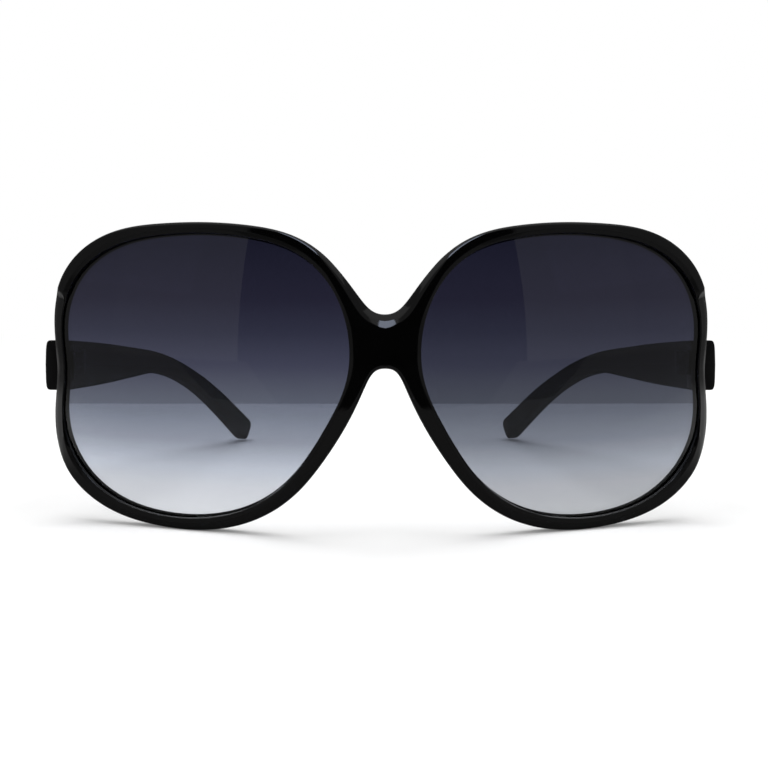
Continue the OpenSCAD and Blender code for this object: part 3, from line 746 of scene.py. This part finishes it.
def gradient_lens():
    """Grey-blue lens, dark at the brow and nearly clear at the cheek."""
    material, w, shader = finish_material("gradient_lens")
    at = object_place(w)
    height = w.node("ShaderNodeSeparateXYZ", {0: at}).outputs[2]
    share = w.math("DIVIDE", height, TINT_TOP * MM)
    noise = w.node("ShaderNodeTexNoise", {"Vector": at, "Scale": 60.0, "Detail": 2.0})
    drift = w.math("MULTIPLY", w.math("SUBTRACT", noise.outputs[0], 0.5), TINT_DRIFT)
    set_tone(w, shader, w.math("ADD", share, drift), [(z / TINT_TOP, c) for z, c in TINT])
    shader.inputs["Transmission Weight"].default_value = 1.0
    shader.inputs["Roughness"].default_value = 0.0
    shader.inputs["IOR"].default_value = 1.5
    return material


def plated_black():
    """Black plated hinge metal with the faint marks of its pressing."""
    material, w, shader = finish_material("plated_hinge")
    at = object_place(w)
    marks = w.node("ShaderNodeTexNoise", {"Vector": at, "Scale": 900.0, "Detail": 4.0}).outputs[0]
    set_tone(w, shader, marks, [(0.3, (0.012, 0.012, 0.014)), (0.7, (0.028, 0.028, 0.03))])
    set_roughness(w, shader, marks, 0.22, 0.4)
    set_bump(w, shader, marks, 0.15, 0.00003)
    shader.inputs["Metallic"].default_value = 0.85
    return material


def screw_metal():
    """Turned steel of the hinge screws and core wires, with fine rings from the lathe."""
    material, w, shader = finish_material("screw_steel")
    stretched = w.node("ShaderNodeMapping", {"Vector": object_place(w), "Scale": (0.1, 0.1, 6.0)})
    rings = w.node("ShaderNodeTexNoise",
                   {"Vector": stretched.outputs[0], "Scale": 2500.0, "Detail": 2.0}).outputs[0]
    set_tone(w, shader, rings, [(0.3, (0.4, 0.4, 0.41)), (0.7, (0.56, 0.56, 0.57))])
    set_roughness(w, shader, rings, 0.2, 0.36)
    shader.inputs["Metallic"].default_value = 1.0
    return material


front_finish, temple_finish, lens_finish = gloss_black(), matte_black(), gradient_lens()
hinge_finish, screw_finish = plated_black(), screw_metal()

front.data.materials.append(front_finish)
for glass in (lens_left, lens_right):
    glass.data.materials.append(lens_finish)
    glass.visible_shadow = False

for side, label, rest in ((1, "right", 0.0), (-1, "left", LEFT_REST)):
    flip = np.array([side, 1, 1])
    ends = [tuple(place(closed_by(p, rest)) * flip) for p in (shaft_start, bend_corner, ear_end)]
    joint_run = closed_by(AXIS + np.array([0, 1, 0]), rest) - AXIS
    temple = made_by("temple_arm_" + label, sweep, sweep_ids, {
        "Shaft start": ends[0], "Bend corner": ends[1], "Ear end": ends[2],
        "Joint run": tuple(joint_run * flip), "Outward": float(side), "Finish": temple_finish})
    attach(temple, "temple_" + label)
    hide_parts("temple_" + label)

for name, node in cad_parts.items():
    finish = (hinge_finish if name.startswith(("hinge_front", "hinge_temple"))
              else screw_finish if name.startswith(("hinge_screw", "core_wire")) else None)
    if finish:
        node.data.materials.clear()
        node.data.materials.append(finish)


# Sizes of an end piece in millimetres: how far its outer face lies inside the temple's, how
# far its root lies inside the rim, how far its inner face clears the hinge, and its edges
END_INSET, END_ROOT_IN, END_OUT_IN, END_HINGE_CLEAR, END_EDGE = 3.2, 0.3, 0.15, 0.9, 0.35
# Its outer curve from the root to the joint: steps of END_SWELL inwards, shares of the way
END_SWELL, END_CURVE = 1.2, [(2, 0.08), (0.5, 0.34), (0, 0.63), (0, 0.87), (0.5, 1)]


def end_piece(name, side):
    """One of the two blocks behind the outer sides of the rims, which carry the hinges."""
    out = TEMPLE_X + TEMPLE_T - END_INSET
    deep = (SLOT_BACK + RIM_T) / 2
    inner = on_dome(opening(0) + np.array([END_ROOT_IN, 0]), deep)[:2]
    root = on_dome(rim_edge(0) - np.array([END_OUT_IN, 0]), deep)[:2]
    plan = [inner, root] + [np.array([out - END_SWELL * a, root[1] + (BUTT_Y - root[1]) * b])
                            for a, b in END_CURVE]
    plan.append(np.array([AXIS[0] + END_HINGE_CLEAR, BUTT_Y]))
    low, high = END_Z - END_H / 2, END_Z + END_H / 2
    n = len(plan)
    points = place([(p[0], p[1], z) for z in (low, high) for p in plan])
    points[:, 0] *= side
    faces = [tuple(range(n)), tuple(range(n, 2 * n))]
    faces += [(j, (j + 1) % n, n + (j + 1) % n, n + j) for j in range(n)]
    piece = mesh_piece(name, points, faces)
    face_outwards(piece)
    bevel = piece.modifiers.new("edges", "BEVEL")
    bevel.width, bevel.segments = END_EDGE * MM, 4
    bevel.limit_method, bevel.angle_limit = "ANGLE", math.radians(20)
    settle(piece)
    even_shading(piece)
    piece.data.materials.append(front_finish)
    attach(piece, "front")


end_piece("end_piece_right", 1)
end_piece("end_piece_left", -1)


# Table: half its size, the light that it adds for seen rays, the shares of it that the gloss
# shows in general and beside the glasses, and the painted shade that darkens its right half
# through the lenses
TABLE_HALF = 3
TABLE_LIFT, TABLE_IN_GLOSS, SIDES_IN_GLOSS, RIGHT_PAINTED_SHADE = 0.11, 0.2, 0.65, 0.31
# Distances over which the table turns plain white, and over which what the gloss shows of it
# brightens behind the front and beside the glasses, and dims again further out, in metres
PLAIN, BEHIND_FRONT, BESIDE, FAR_ASIDE = (0.25, 0.6), (-0.11, -0.06), (0.09, 0.13), (0.42, 0.28)
# Reach in x over which the painted shade on the table's right half sets in, in metres
RIGHT_SIDE = (0.0, 0.01)
# Studio as the gloss shows it: half its width, its front wall, and the levels of its parts
ROOM, FRONT_WALL = 1.6, 0.9
SIDE_LIGHT, FLANK_LIGHT, REAR_LIGHT, CEILING_LIGHT = 0.24, 0.22, 0.08, 0.65
DARK_FLOOR, DIM_FLOOR, DARK_ROOM = 0.02, 0.12, 0.012
# Headings from the glasses at which the dark and the dim parts end, left and right
DARK_LEFT, DARK_RIGHT = math.radians(30), math.radians(33.5)
DIM_LEFT, DIM_RIGHT = math.radians(47), math.radians(50)
# Table's edge before the glasses, and how high the floor cards lie over it
EDGE_Y, CARD_LIFT = (-124 - MIDDLE_Y) * MM, 0.0004
# Height of the softbox above the bridge and of its strip
BOX_Z = 0.167
# Wall behind the table: its place, its half size, its level, how dark the painted shade makes
# it low down behind the right lens, and how far up it reaches its level
WALL_Y, WALL_HALF, WALL_LEVEL, RIGHT_WALL_SHADED_LEVEL, WALL_RISE = 0.164, 1.5, 0.8, 0.5, 0.055
LAMP_AIM = (0, 0, 0.03)


def stage_plane(name, corners, material):
    """A flat part of the stage."""
    piece = mesh_piece(name, corners, [tuple(range(len(corners)))])
    piece.data.materials.append(material)
    return piece


def seen_rays(w):
    """1 for what the camera sees directly, in a reflection or through glass."""
    rays = w.node("ShaderNodeLightPath").outputs
    both = w.math("ADD", rays["Is Camera Ray"], rays["Is Glossy Ray"])
    return w.math("MINIMUM", w.math("ADD", both, rays["Is Transmission Ray"]), 1.0)


def white_table():
    """White table that keeps the shadows near the glasses and turns plain white further off."""
    material, w, shader = finish_material("white_table")

    def share(value, reach, **settings):
        """0 at the first end of the reach, 1 at the other."""
        return w.node("ShaderNodeMapRange", {"Value": value, "From Min": reach[0],
                                             "From Max": reach[1]}, **settings).outputs[0]

    shader.inputs["Base Color"].default_value = (0.8, 0.8, 0.8, 1)
    shader.inputs["Roughness"].default_value = 0.9
    shader.inputs["Specular IOR Level"].default_value = 0.0
    seen = seen_rays(w)
    lift = w.node("ShaderNodeEmission", {"Color": (1, 1, 1, 1), "Strength": TABLE_LIFT})
    only = w.node("ShaderNodeMixShader", {0: seen, 2: lift.outputs[0]})
    near = w.node("ShaderNodeAddShader", {0: shader.outputs[0], 1: only.outputs[0]})
    position = w.node("ShaderNodeNewGeometry").outputs["Position"]
    far = share(w.vector("LENGTH", position), PLAIN, interpolation_type="SMOOTHSTEP")
    plain = w.node("ShaderNodeEmission", {"Color": (1, 1, 1, 1), "Strength": 1.0})
    ends = w.node("ShaderNodeMixShader", {0: w.math("MULTIPLY", far, seen),
                                          1: near.outputs[0], 2: plain.outputs[0]})
    # The gloss shows the table dimmer, and less so beside the glasses
    dark = w.node("ShaderNodeEmission", {"Strength": 0.0})
    rays = w.node("ShaderNodeLightPath").outputs
    gloss = w.math("MULTIPLY", rays["Is Glossy Ray"],
                   w.math("SUBTRACT", 1.0, rays["Is Transmission Ray"]))
    spot = w.node("ShaderNodeSeparateXYZ", {0: position}).outputs
    aside = w.math("ABSOLUTE", spot[0])
    beside = w.math("MULTIPLY", share(aside, BESIDE), share(aside, FAR_ASIDE))
    bright = w.math("MULTIPLY", w.math("MULTIPLY", share(spot[1], BEHIND_FRONT), beside),
                    SIDES_IN_GLOSS - TABLE_IN_GLOSS)
    dimmed = w.math("MULTIPLY", gloss, w.math("SUBTRACT", 1 - TABLE_IN_GLOSS, bright))
    # Painted shade: rays through the lenses see the right half of the table darker
    right_painted_shade = w.math("MULTIPLY", share(spot[0], RIGHT_SIDE), RIGHT_PAINTED_SHADE)
    dimmed = w.math("ADD", dimmed, w.math("MULTIPLY", rays["Is Transmission Ray"], right_painted_shade))
    shown = w.node("ShaderNodeMixShader", {0: dimmed, 1: ends.outputs[0], 2: dark.outputs[0]})
    out = next(n for n in w.tree.nodes if n.type == "OUTPUT_MATERIAL")
    w.tree.links.new(shown.outputs[0], out.inputs[0])
    return material


def card_material(name, level, colour=(1, 1, 1)):
    """A plain glow, with its node and the wiring of its tree."""
    material = bpy.data.materials.new(name)
    material.use_nodes = True
    material.node_tree.nodes.clear()
    w = Wiring(material.node_tree)
    glow = w.node("ShaderNodeEmission", {"Color": (*colour, 1), "Strength": level})
    w.node("ShaderNodeOutputMaterial", {0: glow.outputs[0]})
    return material, glow, w


def card(name, corners, level, colour=(1, 1, 1)):
    """A surface that only the gloss reflects."""
    piece = stage_plane(name, corners, card_material(name, level, colour)[0])
    piece.visible_camera = piece.visible_diffuse = False
    piece.visible_transmission = piece.visible_shadow = False


def floor_card(name, first, last, level):
    """Part of the floor beyond the table's edge, between two headings from the glasses."""
    def spot(heading_angle, y):
        return (y + MIDDLE_Y * MM) * -math.tan(heading_angle), y, CARD_LIFT
    card(name, [spot(first, EDGE_Y), spot(last, EDGE_Y),
                spot(last, -TABLE_HALF), spot(first, -TABLE_HALF)], level)


def wall_card(name, first, last, level):
    """Part of the room's walls and front between two corners (x, y), up to the ceiling."""
    card(name, [(*first, 0), (*last, 0), (*last, ROOM), (*first, ROOM)], level)


def softbox(name, half, near, far, level, colour):
    """A lit panel above the glasses, of a half width, between two depths."""
    card(name, [(-half, near, BOX_Z), (half, near, BOX_Z),
                (half, far, BOX_Z), (-half, far, BOX_Z)], level, colour)


def back_wall(name, first, last, low_level):
    """Half of the wall that shows through the lenses only, with painted shade near the table if
    asked.
    """
    material, glow, w = card_material(name, WALL_LEVEL)
    position = w.node("ShaderNodeNewGeometry").outputs["Position"]
    height = w.node("ShaderNodeSeparateXYZ", {0: position}).outputs[2]
    level = w.node("ShaderNodeMapRange", {"Value": height, "From Min": 0.0, "From Max": WALL_RISE,
                                          "To Min": low_level, "To Max": WALL_LEVEL}).outputs[0]
    w.tree.links.new(level, glow.inputs["Strength"])
    wall = stage_plane(name, [(first, WALL_Y, 0), (last, WALL_Y, 0),
                              (last, WALL_Y, WALL_HALF), (first, WALL_Y, WALL_HALF)], material)
    wall.visible_camera = wall.visible_diffuse = wall.visible_glossy = wall.visible_shadow = False


def lamp(name, where, size, power):
    """A soft lamp that the gloss doesn't show."""
    data = bpy.data.lights.new(name, "AREA")
    data.shape = "RECTANGLE"
    data.size, data.size_y, data.energy = size[0], size[1], power
    piece = bpy.data.objects.new(name, data)
    bpy.context.scene.collection.objects.link(piece)
    piece.location = where
    piece.rotation_euler = (Vector(LAMP_AIM) - Vector(where)).to_track_quat("-Z", "Y").to_euler()
    piece.visible_glossy = False


stage_plane("table", [(-TABLE_HALF, -TABLE_HALF, 0), (TABLE_HALF, -TABLE_HALF, 0),
                      (TABLE_HALF, TABLE_HALF, 0), (-TABLE_HALF, TABLE_HALF, 0)], white_table())
floor_card("dark_floor", -DARK_LEFT, DARK_RIGHT, DARK_FLOOR)
floor_card("dim_floor_left", -DIM_LEFT, -DARK_LEFT, DIM_FLOOR)
floor_card("dim_floor_right", DARK_RIGHT, DIM_RIGHT, DIM_FLOOR)
dark_from = (-FRONT_WALL * math.tan(DARK_LEFT), -FRONT_WALL)
dark_to = (FRONT_WALL * math.tan(DARK_RIGHT), -FRONT_WALL)
wall_card("dark_room", dark_from, dark_to, DARK_ROOM)
wall_card("side_wall_left", dark_from, (-ROOM, -FRONT_WALL), SIDE_LIGHT)
wall_card("side_wall_right", dark_to, (ROOM, -FRONT_WALL), SIDE_LIGHT)
for side in (-1, 1):
    wall_card("flank_%d" % side, (side * ROOM, -FRONT_WALL), (side * ROOM, ROOM), FLANK_LIGHT)
wall_card("rear", (-ROOM, ROOM), (ROOM, ROOM), REAR_LIGHT)
card("ceiling", [(-ROOM, -FRONT_WALL, ROOM), (ROOM, -FRONT_WALL, ROOM), (ROOM, ROOM, ROOM),
                 (-ROOM, ROOM, ROOM)], CEILING_LIGHT)
softbox("softbox", 0.034, -0.134, -0.1, 7.0, (0.72, 0.8, 1.0))
softbox("softbox_strip", 0.03, -0.06, -0.05, 3.0, (0.85, 0.9, 1.0))
back_wall("back_wall_left", -WALL_HALF, 0.0, WALL_LEVEL)
# The right half carries painted shade low down near the table
back_wall("back_wall_right", 0.0, WALL_HALF, RIGHT_WALL_SHADED_LEVEL)
lamp("overhead", (0, 0.1, 0.95), (1.0, 0.85), 9.2)
lamp("left_front", (-0.9, -0.55, 0.6), (0.7, 0.7), 2.2)
lamp("right_front", (0.9, -0.55, 0.6), (0.7, 0.7), 2.2)


def studio_world():
    """White behind the glasses; the light on them is plain and soft."""
    world = bpy.data.worlds.new("studio")
    world.use_nodes = True
    bpy.context.scene.world = world
    world.node_tree.nodes.clear()
    w = Wiring(world.node_tree)
    plain = w.node("ShaderNodeBackground", {"Color": (1, 1, 1, 1), "Strength": 0.45})
    seen = w.node("ShaderNodeBackground", {"Color": (1, 1, 1, 1), "Strength": 1.0})
    both = w.node("ShaderNodeMixShader",
                  {0: seen_rays(w), 1: plain.outputs[0], 2: seen.outputs[0]})
    w.node("ShaderNodeOutputWorld", {0: both.outputs[0]})


studio_world()
bpy.context.scene.view_settings.view_transform = "Standard"

# The view of the photograph; the camera's place is in millimetres
CAMERA_X, CAMERA_Y, CAMERA_Z = -11.3, -262, 60.3
SENSOR, LENS_LENGTH, SHIFT_X, SHIFT_Y = 36.0, 59.16, 0.069, -0.1727
view = bpy.data.cameras.new("view")
view.sensor_width, view.lens = SENSOR, LENS_LENGTH
view.shift_x, view.shift_y = SHIFT_X, SHIFT_Y
view.clip_start = 0.01
camera = bpy.data.objects.new("view", view)
camera.location = (CAMERA_X * MM, (CAMERA_Y - MIDDLE_Y) * MM, CAMERA_Z * MM)
camera.rotation_euler = (math.radians(90), 0, 0)
bpy.context.scene.collection.objects.link(camera)
bpy.context.scene.camera = camera
